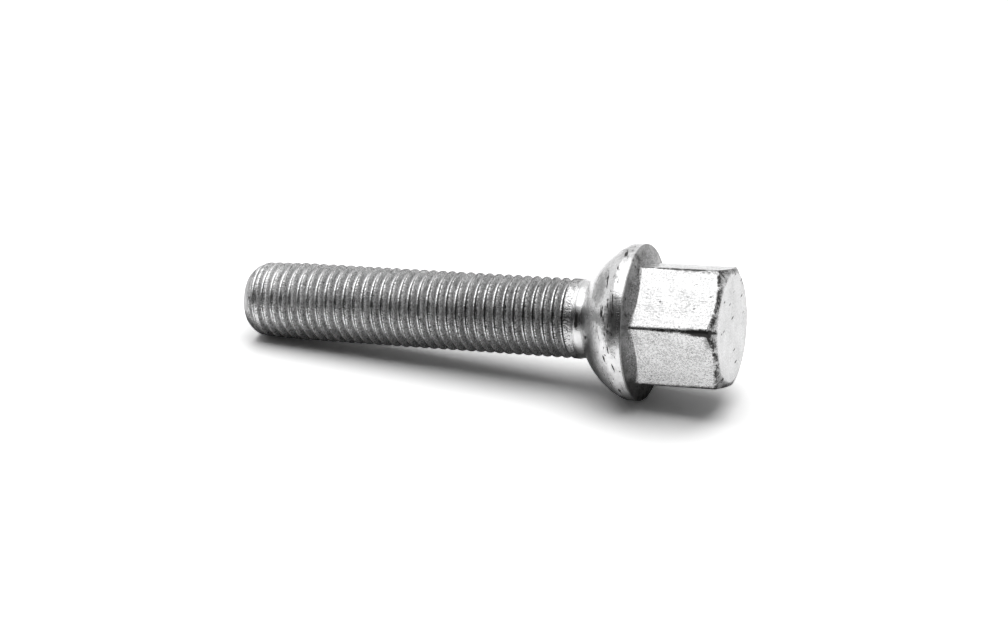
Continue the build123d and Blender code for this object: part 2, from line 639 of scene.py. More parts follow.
@dataclass(frozen=True)
class Pattern:
    """A noise texture, and the range of it that is spread from least to full."""

    scale: float
    low: float
    high: float
    detail: float = 2.0
    roughness: float = 0.55
    least: float = 0.0


class NodeKit:
    """Adds and joins the shader nodes of one tree."""

    def __init__(self, tree: bpy.types.NodeTree) -> None:
        """Keeps the tree that nodes are added to."""
        self.tree = tree

    def join(self, source: Socket, target: Socket) -> None:
        """Links two sockets."""
        self.tree.links.new(source, target)

    def feed(self, node: bpy.types.Node, feeds: dict) -> None:
        """Fills a node's inputs.

        Args:
            node: The node.
            feeds: A socket to link or a value to set, by the input's name or number.
        """
        for name, value in feeds.items():
            if isinstance(value, Socket):
                self.join(value, node.inputs[name])
            else:
                node.inputs[name].default_value = value

    def add(self, kind: str, feeds: dict | None = None, **settings: object) -> bpy.types.Node:
        """Adds a node.

        Args:
            kind: The node's type.
            feeds: What its inputs get, as for feed.
            settings: The node's properties.

        Returns:
            The node.
        """
        node = self.tree.nodes.new(kind)
        for name, value in settings.items():
            setattr(node, name, value)
        self.feed(node, feeds or {})
        return node

    def math(self, operation: str, *values: Value) -> Socket:
        """Adds a Math node and returns its result."""
        return self.add("ShaderNodeMath", dict(enumerate(values)), operation=operation).outputs[0]

    def times(self, *values: Value) -> Socket:
        """Multiplies values with one another."""
        return reduce(lambda product, value: self.math("MULTIPLY", product, value), values)

    def plus(self, base: Value, value: Value, share: Value = 1.0) -> Socket:
        """Adds a share of a value to another."""
        return self.math("MULTIPLY_ADD", value, share, base)

    def minus(self, first: Value, second: Value) -> Socket:
        """Takes the second value from the first."""
        return self.math("SUBTRACT", first, second)

    def squares(self, first: Socket, second: Socket) -> Socket:
        """Adds the squares of two values."""
        return self.plus(self.times(first, first), second, second)

    def spread(self, value: Value, low: Value, high: Value, least: float = 0.0, most: float = 1.0) -> Socket:
        """Maps low to high smoothly onto least to most. High may lie below low."""
        feeds = {"Value": value, "From Min": low, "From Max": high, "To Min": least, "To Max": most}
        return self.add("ShaderNodeMapRange", feeds, interpolation_type="SMOOTHSTEP").outputs["Result"]

    def noise(self, vector: Socket, scale: float, detail: float, roughness: float = 0.55) -> Socket:
        """Adds a Noise Texture and returns its factor."""
        feeds = {"Vector": vector, "Scale": scale, "Detail": detail, "Roughness": roughness}
        return self.add("ShaderNodeTexNoise", feeds).outputs["Fac"]

    def pattern(self, vector: Socket, made: Pattern) -> Socket:
        """Adds a pattern and returns how full it is."""
        waves = self.noise(vector, made.scale, made.detail, made.roughness)
        return self.spread(waves, made.low, made.high, made.least)

    def spots(self, vector: Socket, scale: float, low: float, high: float) -> Socket:
        """Adds scattered round spots, none at low and full at high distance from their middles."""
        cells = self.add("ShaderNodeTexVoronoi", {"Vector": vector, "Scale": scale}, feature="F1")
        return self.spread(cells.outputs["Distance"], low, high)

    def mapped(self, vector: Socket, scale: tuple, rotation: tuple = (0.0, 0.0, 0.0)) -> Socket:
        """Scales and turns a vector."""
        feeds = {"Vector": vector, "Rotation": rotation, "Scale": scale}
        return self.add("ShaderNodeMapping", feeds, vector_type="POINT").outputs["Vector"]

    def apart(self, vector: Socket) -> tuple:
        """Splits a vector into its three parts."""
        parts = self.add("ShaderNodeSeparateXYZ", {"Vector": vector}).outputs
        return parts["X"], parts["Y"], parts["Z"]

    def joined(self, across: Value, up: Value) -> Socket:
        """Makes a flat vector of two parts."""
        return self.add("ShaderNodeCombineXYZ", {"X": across, "Y": up}).outputs["Vector"]

    def ramp(self, value: Socket, stops: tuple) -> Socket:
        """Adds an eased grey ramp.

        Args:
            value: Where the ramp is read.
            stops: Pairs of a place and its grey level.

        Returns:
            The ramp's colour.
        """
        node = self.add("ShaderNodeValToRGB", {"Fac": value})
        node.color_ramp.interpolation = "EASE"
        while len(node.color_ramp.elements) < len(stops):
            node.color_ramp.elements.new(0.5)
        for element, (place, level) in zip(node.color_ramp.elements, stops):
            element.position = place
            element.color = (level, level, level, 1.0)
        return node.outputs["Color"]

    def mix(self, share: Value, first: object, second: object) -> Socket:
        """Mixes two colours and returns the result."""
        feeds = {"Factor": share, "A": first, "B": second}
        return self.add("ShaderNodeMix", feeds, data_type="RGBA").outputs["Result"]

    def mix_shaders(self, share: Value, first: Socket, second: Socket) -> Socket:
        """Mixes two shaders and returns the result."""
        return self.add("ShaderNodeMixShader", {"Fac": share, 1: first, 2: second}).outputs["Shader"]


class SharedGroup:
    """A node group that is made once and shared by the materials."""

    NAME = ""
    INPUTS: tuple = ()
    OUTPUTS: tuple = ()

    def fill(self, kit: NodeKit) -> dict:
        """Adds the group's nodes and returns what its outputs get."""
        raise NotImplementedError

    def tree(self) -> bpy.types.NodeTree:
        """Gives the group, and makes it if it isn't there yet.

        Returns:
            The group's tree.
        """
        if self.NAME in bpy.data.node_groups:
            return bpy.data.node_groups[self.NAME]
        tree = bpy.data.node_groups.new(self.NAME, "ShaderNodeTree")
        for way, labels in (("INPUT", self.INPUTS), ("OUTPUT", self.OUTPUTS)):
            for label in labels:
                kind = "NodeSocketVector" if label == "Along" else "NodeSocketFloat"
                tree.interface.new_socket(name=label, in_out=way, socket_type=kind)
        kit = NodeKit(tree)
        kit.add("NodeGroupOutput", self.fill(kit))
        return tree


class BoltAxes(SharedGroup):
    """Station, radius and angle about the bolt's axis, in millimetres and radians."""

    NAME = "bolt_axes"
    OUTPUTS = ("Along", "Station", "Radius", "Angle")

    def __init__(self, lean: float) -> None:
        """Keeps the rise of the bolt's axis above the floor, in radians."""
        self.lean = lean

    def fill(self, kit: NodeKit) -> dict:
        """Turns the object's coordinates to the bolt's axis.

        Args:
            kit: The group's nodes.

        Returns:
            What each output gets.
        """
        place = kit.add("ShaderNodeTexCoord").outputs["Object"]
        along = kit.mapped(place, (1.0 / MM,) * 3, (0.0, self.lean, 0.0))
        station, side, rise = kit.apart(along)
        radius = kit.math("SQRT", kit.squares(side, rise))
        angle = kit.math("ARCTAN2", side, rise)
        return {"Along": along, "Station": station, "Radius": radius, "Angle": angle}


class WornZinc(SharedGroup):
    """The marks that every zinc surface of the bolt carries."""

    NAME = "worn_zinc"
    INPUTS = ("Along", "Grain", "Pits", "Scratches")
    OUTPUTS = ("Cloud", "Fine", "Mottle", "Speck", "Pit", "Scratch", "Height")
    CLOUD = Pattern(0.32, 0.35, 0.65, detail=4.0, roughness=0.6)
    MOTTLE = Pattern(3.6, 0.36, 0.64, detail=3.0, roughness=0.75)
    SPECK = Pattern(5.0, 0.50, 0.72, roughness=0.8)
    SPECK_PATCHES = Pattern(0.45, 0.30, 0.70, least=0.35)
    PIT_PATCHES = Pattern(0.21, 0.50, 0.60)
    SCRATCH_PATCHES = Pattern(0.5, 0.46, 0.58)
    FINE = (2.4, 5.0, 0.7)
    PITS = (0.62, 0.16, 0.06)
    MOTTLE_RISE = 0.35
    PIT_DEPTH = 1.6
    SCRATCH_DEPTH = 0.5
    STRETCH = (0.35, 1.6, 1.6)
    SCRATCH_STRETCH = (0.05, 1.0, 1.0)
    SCRATCH_WIDTH = 0.006
    SCRATCH_WAVES = (2.0, 0.5)
    SCRATCH_LEAN = (0.7, 0.4)
    SCRATCHES = ((0.5, 0.9), (-0.9, 0.7), (1.9, 1.2))

    def scratches(self, kit: NodeKit, along: Socket) -> Socket:
        """Draws fine lines that cross at a few angles.

        Args:
            kit: The group's nodes.
            along: Place on the bolt.

        Returns:
            How deep the scratch is.
        """
        lines = 0.0
        for angle, scale in self.SCRATCHES:
            turn = (angle, self.SCRATCH_LEAN[0] * angle, self.SCRATCH_LEAN[1])
            tilted = kit.mapped(along, self.SCRATCH_STRETCH, turn)
            wisp = kit.minus(kit.noise(tilted, scale, *self.SCRATCH_WAVES), 0.5)
            line = kit.spread(kit.math("ABSOLUTE", wisp), self.SCRATCH_WIDTH, 0.0)
            lines = kit.math("MAXIMUM", lines, line)
        return kit.times(lines, kit.pattern(along, self.SCRATCH_PATCHES))

    def fill(self, kit: NodeKit) -> dict:
        """Adds clouds, fine grain, mottling, specks, pits and scratches.

        Args:
            kit: The group's nodes.

        Returns:
            What each output gets.
        """
        start = kit.add("NodeGroupInput").outputs
        along = start["Along"]
        stretched = kit.mapped(along, self.STRETCH)
        fine = kit.noise(stretched, *self.FINE)
        mottle = kit.pattern(along, self.MOTTLE)
        speck = kit.times(kit.pattern(stretched, self.SPECK), kit.pattern(along, self.SPECK_PATCHES))
        spots = kit.spots(along, *self.PITS)
        pit = kit.times(spots, kit.pattern(along, self.PIT_PATCHES), start["Pits"])
        scratch = kit.times(self.scratches(kit, along), start["Scratches"])
        height = kit.times(kit.plus(kit.minus(fine, 0.5), mottle, self.MOTTLE_RISE), start["Grain"])
        height = kit.plus(kit.plus(height, pit, -self.PIT_DEPTH), scratch, -self.SCRATCH_DEPTH)
        cloud = kit.pattern(along, self.CLOUD)
        return dict(zip(self.OUTPUTS, (cloud, fine, mottle, speck, pit, scratch, height)))


class Surface:
    """The darkness, height and roughness of one surface while its marks are added."""

    def __init__(self, kit: NodeKit, place: Placement, finish: "ZincFinish") -> None:
        """Starts with the marks that every surface of the bolt carries.

        Args:
            kit: The material's nodes.
            place: Where the bolt lies.
            finish: The finish of the surface.
        """
        self.kit = kit
        self.place = place
        axes = kit.add("ShaderNodeGroup", node_tree=BoltAxes(place.lean).tree()).outputs
        self.along, self.station, self.radius, self.angle = (axes[label] for label in BoltAxes.OUTPUTS)
        feeds = dict(zip(WornZinc.INPUTS, (self.along, finish.grain, finish.pits, finish.scratches)))
        self.worn = kit.add("ShaderNodeGroup", feeds, node_tree=WornZinc().tree()).outputs
        self.height = self.worn["Height"]
        self.rough = finish.roughness
        self.shade = 0.0
        shares = {"Cloud": 0.10, "Mottle": finish.mottle, "Speck": finish.specks, "Pit": 0.9, "Scratch": 0.25}
        for label, share in shares.items():
            self.darken(self.worn[label], share)

    def darken(self, mark: Value, share: float = 1.0) -> None:
        """Adds a share of a mark to the darkness."""
        self.shade = self.kit.plus(self.shade, mark, share)

    def sink(self, mark: Value, depth: float) -> None:
        """Lowers the surface where a mark is."""
        self.height = self.kit.plus(self.height, mark, -depth)


class Mark:
    """Something that marks a surface."""

    def add(self, surface: Surface) -> None:
        """Adds the mark to a surface."""
        raise NotImplementedError


@dataclass(frozen=True)
class DirtAndShadePatch(Mark):
    """A ragged dark patch on the side that faces -Y, mostly painted shade and painted dark reflection, some
    of it dirt, in millimetres and degrees above level.
    """

    station: float
    turn: float
    radius: float
    along: float
    around: float
    level: float
    waves: tuple = (1.3, 4.0, 0.7)
    ragged: float = 2.4
    fade: tuple = (1.3, 0.1)

    def add(self, surface: Surface) -> None:
        """Adds the patch to a surface.

        Args:
            surface: The surface that is marked.
        """
        kit = surface.kit
        turned = kit.math("ADD", surface.angle, math.radians(90.0 - self.turn))
        across = kit.times(turned, self.radius / self.around)
        along = kit.times(kit.minus(surface.station, self.station), 1.0 / self.along)
        ragged = kit.plus(self.ragged / 2, kit.noise(surface.along, *self.waves), -self.ragged)
        # Darkens the patch: painted shade and painted dark reflection, with some dirt.
        surface.darken(kit.spread(kit.plus(kit.squares(across, along), ragged), *self.fade), self.level)


@dataclass(frozen=True)
class ThreadMarks(Mark):
    """Roots lightened as cleaner metal and a painted highlight, worn crests, a film with painted shade that
    darkens towards the head, and dirt with painted groove shade on the flanks that face the tip.

    Bands are offsets from the crest, root or tip. Sides are the share of a flank's normal that
    points to the tip. Stations and levels come in pairs, from the first to the second.
    """

    crest_radius: float = ThreadedShank.crest_radius
    root_radius: float = ThreadedShank.root_radius
    tip_end: float = ThreadedShank.tip_end
    thread_start: tuple = (-13.2, -14.6)
    film_and_shade_levels: tuple = (-66.0, -18.0, -0.12, 0.10)
    film_and_shade_sides: tuple = (-0.70, -0.20, 0.20, 1.0)
    film_and_shade_cloud: tuple = (0.75, 0.5)
    crest_band: tuple = (-0.16, -0.03)
    crest_shade: float = 0.16
    root_band: tuple = (0.30, 0.12)
    root_sides: tuple = (0.10, -0.15)
    root_light_and_highlight: float = 0.30
    dirt_and_shade_sides: tuple = (0.10, 0.50)
    dirt_and_shade_levels: tuple = (-60.0, -24.0, 0.50, 0.54)
    dirt_and_shade_around: tuple = (2.0, 5.0, 1.0, 0.35)
    dirt_and_shade_pattern: Pattern = Pattern(1.6, 0.34, 0.56, detail=3.0, roughness=0.7, least=0.25)
    rough_sides: tuple = (-0.20, -0.60)
    rough: float = 0.34
    tip_band: tuple = (0.4, 1.8)
    tip_shade: float = 0.40

    def add(self, surface: Surface) -> None:
        """Adds the dirt, wear, painted shade and painted highlight of the thread to a surface.

        Args:
            surface: The surface that is marked.
        """
        kit, station, radius, lean = surface.kit, surface.station, surface.radius, surface.place.lean
        feeds = {
            0: kit.add("ShaderNodeNewGeometry").outputs["Normal"],
            1: (-math.cos(lean), 0.0, -math.sin(lean)),
        }
        facing = kit.add("ShaderNodeVectorMath", feeds, operation="DOT_PRODUCT").outputs["Value"]
        threaded = kit.spread(station, *self.thread_start)
        _, side, _ = kit.apart(surface.along)
        # Dirt with painted shade of the groove and its dark reflection, on the flanks that face the tip,
        # slightly more towards the head and less on the side that faces +Y.
        dirt_and_shade = kit.times(
            kit.spread(facing, *self.dirt_and_shade_sides),
            kit.spread(station, *self.dirt_and_shade_levels),
            kit.spread(side, *self.dirt_and_shade_around),
            kit.pattern(surface.along, self.dirt_and_shade_pattern),
        )
        # A film and painted shade from the collar: lighter near the tip, darker towards the head, and less on
        # the flanks that face the head.
        film_and_shade = kit.times(
            kit.spread(station, *self.film_and_shade_levels),
            kit.plus(self.film_and_shade_cloud[0], surface.worn["Cloud"], self.film_and_shade_cloud[1]),
            kit.spread(facing, *self.film_and_shade_sides),
            threaded,
        )
        crest = kit.spread(radius, *(self.crest_radius + offset for offset in self.crest_band))
        root = kit.spread(radius, *(self.root_radius + offset for offset in self.root_band))
        surface.darken(dirt_and_shade)
        surface.darken(film_and_shade)
        surface.darken(kit.times(crest, threaded), self.crest_shade)
        # Lightens the roots and the low part of the flanks that face the head: cleaner metal and a painted
        # highlight along the root.
        surface.darken(kit.times(root, kit.spread(facing, *self.root_sides)), -self.root_light_and_highlight)
        tip = kit.spread(station, *(self.tip_end + offset for offset in self.tip_band), self.tip_shade)
        surface.shade = kit.times(surface.shade, tip)
        surface.rough = kit.plus(surface.rough, kit.spread(facing, *self.rough_sides), self.rough)


@dataclass(frozen=True)
class HexagonMarks(Mark):
    """Broken dark lines along the hexagon's edges, partly dirt and partly painted dark reflection, and dirt
    with painted shade where it meets the collar.
    """

    grime_and_shade: float = 0.8
    flat_turn: float = 40.0
    flat_radius: float = Head.flats / 2
    end_radius: float = Head.end_radius
    corner_radius: float = 9.6
    cone_slope: float = 0.577
    cone_band: tuple = (-0.50, -0.12)
    cone_inset: tuple = (1.0, 0.10, 0.15, 1.0)
    foot: float = -2.0
    foot_band: tuple = (-0.25, -0.45)
    foot_bow: float = 1.3
    foot_rise: float = 0.35
    foot_shade: float = 0.60
    corner_width: tuple = (0.22, 0.75)
    corner_core: float = 0.03
    end_setback: float = 1.5
    broken: Pattern = Pattern(0.9, 0.36, 0.56, detail=3.0, roughness=0.7, least=0.30)

    def add(self, surface: Surface) -> None:
        """Adds the hexagon's dark edges to a surface.

        Args:
            surface: The surface that is marked.
        """
        kit, station, head_end = surface.kit, surface.station, surface.place.head_end
        half_side = math.radians(30.0)
        turned = kit.math("ADD", surface.angle, math.radians(self.flat_turn))
        from_flat = kit.math("WRAP", turned, half_side, -half_side)
        inset = kit.minus(self.flat_radius, kit.times(surface.radius, kit.math("COSINE", from_flat)))
        cone = kit.minus(
            kit.plus(station, surface.radius, self.cone_slope),
            head_end + self.end_radius * self.cone_slope,
        )
        cone = kit.times(kit.spread(cone, *self.cone_band), kit.spread(inset, *self.cone_inset))
        width = kit.spread(station, self.foot, head_end - self.end_setback, *self.corner_width)
        near_corner = kit.minus(half_side, kit.math("ABSOLUTE", from_flat))
        corner = kit.spread(kit.times(near_corner, self.corner_radius), width, self.corner_core)
        # Dark lines along the corners and the end cone: partly dirt, partly painted dark reflection.
        edges = kit.times(kit.math("MAXIMUM", corner, cone), kit.pattern(surface.along, self.broken))
        # Darker where the flats meet the hollow back: dirt with painted shade.
        bow = kit.plus(self.foot_rise, kit.times(from_flat, from_flat), -self.foot_bow)
        foot = kit.spread(kit.minus(station, bow), *(self.foot + offset for offset in self.foot_band))
        foot = kit.times(foot, self.foot_shade)
        surface.darken(kit.math("MAXIMUM", edges, foot), self.grime_and_shade)


@dataclass(frozen=True)
class SeatMarks(Mark):
    """Dirt and painted shade in the hollow back, a dark line along the rim's edge, and faint stains."""

    rim_back: float = Head.rim_front + Head.rim_width
    grime_and_shade: float = 0.70
    hollow_band: tuple = (-0.05, 0.25)
    hollow_mottle: tuple = (0.0, 1.0, 0.85, 1.0)
    edge_offset: float = -0.05
    edge_band: tuple = (0.28, 0.06)
    edge_shade: float = 0.55
    stains: Pattern = Pattern(0.16, 0.54, 0.66, detail=4.0, roughness=0.65)
    stain_shade: float = 0.35

    def add(self, surface: Surface) -> None:
        """Adds the collar's dirt, painted shade and stains to a surface.

        Args:
            surface: The surface that is marked.
        """
        kit, station = surface.kit, surface.station
        # Darker in the hollow back behind the rim: dirt with painted shade in the recess.
        hollow = kit.spread(station, *(self.rim_back + offset for offset in self.hollow_band))
        mottled = kit.spread(surface.worn["Cloud"], *self.hollow_mottle)
        surface.darken(kit.times(hollow, mottled), self.grime_and_shade)
        edge = kit.math("ABSOLUTE", kit.minus(station, self.rim_back + self.edge_offset))
        surface.darken(kit.spread(edge, *self.edge_band), self.edge_shade)
        surface.darken(kit.pattern(surface.along, self.stains), self.stain_shade)


@dataclass(frozen=True)
class TurningRings(Mark):
    """Fine wavy rings that turning left round the ball seat."""

    height: float = 0.6
    shade: float = 0.09
    wave: float = 0.25
    waves: tuple = (0.4, 2.0)
    rings: tuple = (1.0, 3.0, 0.7)
    per_mm: float = 9.0
    per_radian: float = 0.6
    shade_range: tuple = (0.52, 0.75)

    def add(self, surface: Surface) -> None:
        """Adds the rings to a surface.

        Args:
            surface: The surface that is marked.
        """
        kit = surface.kit
        wavy = kit.plus(surface.station, kit.noise(surface.along, *self.waves), self.wave)
        place = kit.joined(kit.times(wavy, self.per_mm), kit.times(surface.angle, self.per_radian))
        ring = kit.noise(place, *self.rings)
        surface.sink(ring, -self.height)
        surface.darken(kit.spread(ring, *self.shade_range), self.shade)


@dataclass(frozen=True)
class RimKnocks(Mark):
    """Short slanting knocks in the ball beside the rim."""

    middle: float = Head.rim_front + Head.rim_width - 2.2
    band: tuple = (1.9, 0.6)
    depth: float = 1.5
    radius: float = 11.0
    slant: float = 0.5
    per_mm: float = 2.6
    per_turned_mm: float = 0.45
    knocks: Pattern = Pattern(0.9, 0.585, 0.635, roughness=0.6)

    def add(self, surface: Surface) -> None:
        """Adds the knocks to a surface.

        Args:
            surface: The surface that is marked.
        """
        kit, station = surface.kit, surface.station
        turned = kit.times(surface.angle, self.radius)
        slanted = kit.plus(kit.times(station, self.per_mm), turned, self.slant)
        place = kit.joined(slanted, kit.times(turned, self.per_turned_mm))
        near_rim = kit.spread(kit.math("ABSOLUTE", kit.minus(station, self.middle)), *self.band)
        knock = kit.times(kit.pattern(place, self.knocks), near_rim)
        surface.darken(knock)
        surface.sink(knock, self.depth)


@dataclass(frozen=True)
class Dashes(Mark):
    """Short dark dashes scattered over the end face."""

    depth: float = 2.0
    scale: float = 0.8
    size: tuple = (0.20, 0.10)
    stretch: tuple = (1.0, 0.35, 1.4)
    turn: tuple = (0.9, 0.0, 0.0)
    patches: Pattern = Pattern(0.33, 0.49, 0.57)

    def add(self, surface: Surface) -> None:
        """Adds the dashes to a surface.

        Args:
            surface: The surface that is marked.
        """
        kit = surface.kit
        spots = kit.spots(kit.mapped(surface.along, self.stretch, self.turn), self.scale, *self.size)
        dash = kit.times(spots, kit.pattern(surface.along, self.patches))
        surface.darken(dash)
        surface.sink(dash, self.depth)


@dataclass(frozen=True)
class ZincFinish:
    """Bright zinc on steel, as one surface of the bolt wears it."""

    name: str
    colour: float
    dark: float
    roughness: float
    grain: float
    mottle: float
    specks: float
    pits: float
    scratches: float
    marks: tuple[Mark, ...]
    bump: float = 0.4
    bump_depth: float = 0.05 * MM
    edge: float = 1.0
    light_tint: tuple = (1.0, 1.0, 1.005)
    dark_tint: tuple = (0.5, 0.49, 0.48)
    dirt_roughness: float = 0.25
    grain_roughness: float = 0.22

    def material(self, place: Placement) -> bpy.types.Material:
        """Makes the material.

        Args:
            place: Where the bolt lies.

        Returns:
            The material, with its own shader and the shared groups.
        """
        material = bpy.data.materials.new(self.name)
        material.use_nodes = True
        kit = NodeKit(material.node_tree)
        surface = Surface(kit, place, self)
        for mark in self.marks:
            mark.add(surface)
        shade = kit.math("MINIMUM", kit.math("MAXIMUM", surface.shade, 0.0), 1.0)
        light = (*(self.colour * tint for tint in self.light_tint), 1.0)
        dark = (*(self.dark * tint for tint in self.dark_tint), 1.0)
        rough = kit.plus(surface.rough, shade, self.dirt_roughness)
        rough = kit.plus(rough, kit.minus(surface.worn["Fine"], 0.5), self.grain_roughness)
        feeds = {"Strength": self.bump, "Distance": self.bump_depth, "Height": surface.height}
        bump = kit.add("ShaderNodeBump", feeds)
        feeds = {
            "Base Color": kit.mix(shade, light, dark),
            "Metallic": 1.0,
            "Roughness": rough,
            "Specular Tint": (self.edge, self.edge, self.edge, 1.0),
            "Normal": bump.outputs["Normal"],
        }
        kit.feed(material.node_tree.nodes["Principled BSDF"], feeds)
        return material


@dataclass
class Bolt:
    """The whole bolt as one closed piece."""

    place: Placement
    head: Head
    shank: ThreadedShank
    name: str = "wheel_bolt_zinc"
    crisp_angle: float = 38.0
    neck_margin: float = 0.02
    rim_margin: float = 0.05
    foot_width: float = 1.4
    end_depth: float = 0.35
    end_margin: float = 0.1

    def build(self) -> bpy.types.Object:
        """Joins the thread and the head, and lays the bolt down.

        Returns:
            The piece, with a slot number on each face.
        """
        bm = self.shank.build()
        self.take_in(bm, self.head.build())
        bmesh.ops.bridge_loops(bm, edges=[edge for edge in bm.edges if edge.is_boundary])
        for face in bm.faces:
            face.material_index = self.zone(face).value
        bmesh.ops.transform(bm, matrix=self.place.matrix(), verts=bm.verts)
        bmesh.ops.recalc_face_normals(bm, faces=bm.faces)
        for face in bm.faces:
            face.smooth = True
        crisp = math.radians(self.crisp_angle)
        for edge in bm.edges:
            edge.smooth = len(edge.link_faces) != 2 or edge.calc_face_angle() < crisp
        opened = sum(not edge.is_manifold for edge in bm.edges)
        triangles = sum(len(face.verts) - 2 for face in bm.faces)
        LOG.info("%s: %d triangles, %d open edges", self.name, triangles, opened)
        return put_in_scene(bm, self.name)

    def take_in(self, bm: Mesh, other: Mesh) -> None:
        """Moves another mesh into this one.

        Args:
            bm: The mesh that is added to.
            other: The mesh that is added, and freed.
        """
        mesh = bpy.data.meshes.new("head_shell")
        other.to_mesh(mesh)
        other.free()
        bm.from_mesh(mesh)
        bpy.data.meshes.remove(mesh)

    def zone(self, face: bmesh.types.BMFace) -> Zone:
        """Tells which surface of the upright bolt a face belongs to.

        Args:
            face: The face.

        Returns:
            Its zone.
        """
        centre = face.calc_center_median()
        radius = math.hypot(centre.x, centre.y)
        if centre.z < self.shank.crest_end - self.neck_margin:
            return Zone.THREAD
        head = self.head
        if centre.z < head.rim_back + self.rim_margin or radius > head.flat_radius + self.foot_width:
            return Zone.SEAT
        if centre.z > head.head_end - self.end_depth and radius < head.end_radius - self.end_margin:
            return Zone.END_FACE
        return Zone.HEXAGON


@dataclass
class Studio:
    """A pale floor, a soft overhead light, a plain surround and the camera."""

    floor_level: float
    target: Vector
    azimuth: float = 19.87
    elevation: float = 25.63
    distance: float = 0.37004
    focal_length: float = 89.28
    sensor_width: float = 36.0
    clip: tuple = (0.01, 20.0)
    rise: float = 0.64 * MM
    lamp_power: float = 2.5
    lamp_size: float = 0.75
    lamp_side: float = 0.05
    lamp_height: float = 0.55
    floor_size: float = 3.0
    floor_colour: float = 0.55
    floor_white: float = 2.2
    floor_mirrored: float = 2.2
    white_start: tuple = (0.12, 0.36)
    bolt_middle: float = -0.0275
    bolt_half: float = 0.038
    ring_start: tuple = (0.005, 0.014)
    ring_end: tuple = (0.075, 0.045)
    lit_side: tuple = (0.01, 0.04)
    fill: float = 0.18
    before_edge: tuple = (-0.50, -0.18)
    before: tuple = ((0.0, 0.45), (0.05, 0.25), (0.12, 0.03), (0.62, 0.03), (0.80, 0.55), (1.0, 0.85))

    def aim(self, thing: bpy.types.Object, place: Vector, turn: object) -> None:
        """Links an object to the scene and gives it its place and turn.

        Args:
            thing: The object.
            place: Where it goes.
            turn: Its turn, as a quaternion.
        """
        bpy.context.scene.collection.objects.link(thing)
        thing.rotation_mode = "QUATERNION"
        thing.rotation_quaternion = turn
        thing.location = place

    def camera(self) -> None:
        """Places the camera."""
        data = bpy.data.cameras.new("camera")
        data.lens, data.sensor_width = self.focal_length, self.sensor_width
        data.clip_start, data.clip_end = self.clip
        camera = bpy.data.objects.new("camera", data)
        turn, rise = math.radians(self.azimuth), math.radians(self.elevation)
        level = math.cos(rise)
        back = Vector((math.sin(turn) * level, -math.cos(turn) * level, math.sin(rise)))
        facing = (-back).to_track_quat("-Z", "Y")
        up = facing @ Vector((0.0, 1.0, 0.0))
        self.aim(camera, self.target + up * self.rise + back * self.distance, facing)
        bpy.context.scene.camera = camera

    def floor(self) -> None:
        """Lays the floor."""
        bm = bmesh.new()
        bmesh.ops.create_grid(bm, x_segments=1, y_segments=1, size=self.floor_size)
        bmesh.ops.translate(bm, verts=bm.verts, vec=(0.0, 0.0, self.floor_level))
        floor = put_in_scene(bm, "floor")
        floor.data.materials.append(self.floor_material())

    def floor_material(self) -> bpy.types.Material:
        """Makes a floor that keeps its shadows and turns white away from the bolt.

        Returns:
            The material.
        """
        material = bpy.data.materials.new("pale_floor")
        material.use_nodes = True
        nodes = material.node_tree.nodes
        nodes.remove(nodes["Principled BSDF"])
        kit = NodeKit(material.node_tree)
        path = kit.add("ShaderNodeLightPath").outputs
        place = kit.add("ShaderNodeTexCoord").outputs["Object"]
        seen = kit.times(self.mirrored(kit, path), self.mirror_ring(kit, place))
        level = kit.plus(self.floor_colour, seen, self.floor_mirrored - self.floor_colour)
        level = kit.plus(level, path["Is Camera Ray"], self.floor_white - self.floor_colour)
        tone = kit.add("ShaderNodeCombineColor", dict.fromkeys(("Red", "Green", "Blue"), level))
        matt = kit.add("ShaderNodeBsdfDiffuse", {"Color": tone.outputs["Color"]})
        length = kit.add("ShaderNodeVectorMath", {0: place}, operation="LENGTH").outputs["Value"]
        away = kit.spread(length, *self.white_start)
        white = kit.add("ShaderNodeEmission")
        share = kit.times(away, path["Is Camera Ray"])
        blend = kit.mix_shaders(share, matt.outputs["BSDF"], white.outputs["Emission"])
        kit.join(blend, nodes["Material Output"].inputs["Surface"])
        return material

    def mirror_ring(self, kit: NodeKit, place: Socket) -> Socket:
        """Finds where the floor is brighter in mirrored rays: round the bolt, but not close to it, which
        paints a deeper shadow under the bolt into its reflections, and not beyond about 7 cm from it except
        behind it.

        Args:
            kit: The floor's nodes.
            place: Place on the floor, in metres.

        Returns:
            0 where the floor keeps its colour, and 1 where it is brighter.
        """
        along, across, _ = kit.apart(place)
        beyond = kit.math("ABSOLUTE", kit.minus(along, self.bolt_middle))
        beyond = kit.math("MAXIMUM", kit.minus(beyond, self.bolt_half), 0.0)
        clear = kit.math("SQRT", kit.squares(beyond, across))
        reach = kit.math("MAXIMUM", kit.spread(clear, *self.ring_end), kit.spread(across, *self.lit_side))
        return kit.times(kit.spread(clear, *self.ring_start), reach)

    def mirrored(self, kit: NodeKit, path: object) -> Socket:
        """Tells rays that show the surroundings in metal or glass, with no matt bounce before.

        Args:
            kit: The nodes that are added to.
            path: The outputs of the Light Path node.

        Returns:
            1 for such a ray, and 0 for others.
        """
        seen = kit.math("MAXIMUM", path["Is Glossy Ray"], path["Is Transmission Ray"])
        return kit.times(seen, kit.math("LESS_THAN", path["Diffuse Depth"], 0.5))

